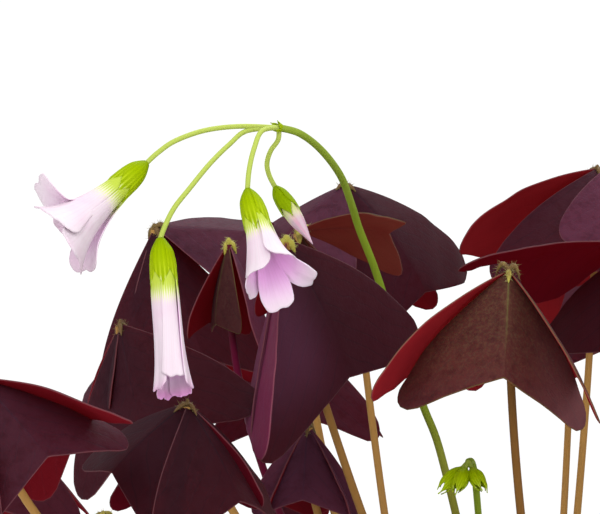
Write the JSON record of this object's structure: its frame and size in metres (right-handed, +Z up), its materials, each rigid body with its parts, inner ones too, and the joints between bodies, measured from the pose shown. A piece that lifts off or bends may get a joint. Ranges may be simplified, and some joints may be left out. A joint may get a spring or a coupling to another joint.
{
  "type": "potted purple shamrock",
  "caption": "Flowering purple shamrock in a round clay pot: dark purple three-lobed leaves on thin stems and nodding pale lilac flowers on arched stalks.",
  "frame": {"origin": "centre of the pot's foot, on the surface it stands on", "axes": "+Z up; the flowering side faces -Y; +X to the right seen from there"},
  "size_m": [0.1684, 0.1622, 0.1869],
  "materials": {
    "pot": "matt unglazed terracotta",
    "soil": "loose dark potting compost",
    "petiole": "satin translucent stem",
    "leaf": "velvety dark purple leaf, crimson below",
    "stalk": "satin green flower stalk and calyx",
    "petal": "thin pale lilac petal"
  },
  "bodies": {
    "root": {"pot": "pot", "soil": "soil", "tuft_1": "petiole", "tuft_2": "petiole", "tuft_3": "petiole", "tuft_4": "petiole", "tuft_5": "petiole", "leaf_a": "leaf", "leaf_b": "leaf", "leaf_c": "leaf", "leaf_d": "leaf", "leaf_e": "leaf", "leaf_f": "leaf", "leaf_g": "leaf", "leaf_h": "leaf", "leaf_i": "leaf", "leaf_j": "leaf", "leaf_k": "leaf", "leaf_l": "leaf", "leaf_m": "leaf", "leaf_n": "leaf", "leaf_o": "leaf", "leaf_p": "leaf", "leaf_q": "leaf", "leaf_r": "leaf", "leaf_s": "leaf", "leaf_t": "leaf", "leaf_u": "leaf", "leaf_v": "leaf", "leaf_w": "leaf", "leaf_x": "leaf", "leaf_y": "leaf", "leaf_z": "leaf", "leaf_aa": "leaf", "leaf_bb": "leaf", "leaf_cc": "leaf", "stalk_front": "stalk", "stalk_back": "stalk", "stalk_young": "stalk", "corolla_open_low": "petal", "corolla_tube": "petal", "corolla_open_front": "petal", "corolla_bud": "petal", "corolla_open_back": "petal", "corolla_tube_back": "petal", "corolla_bud_back": "petal"}
  },
  "joints": []
}
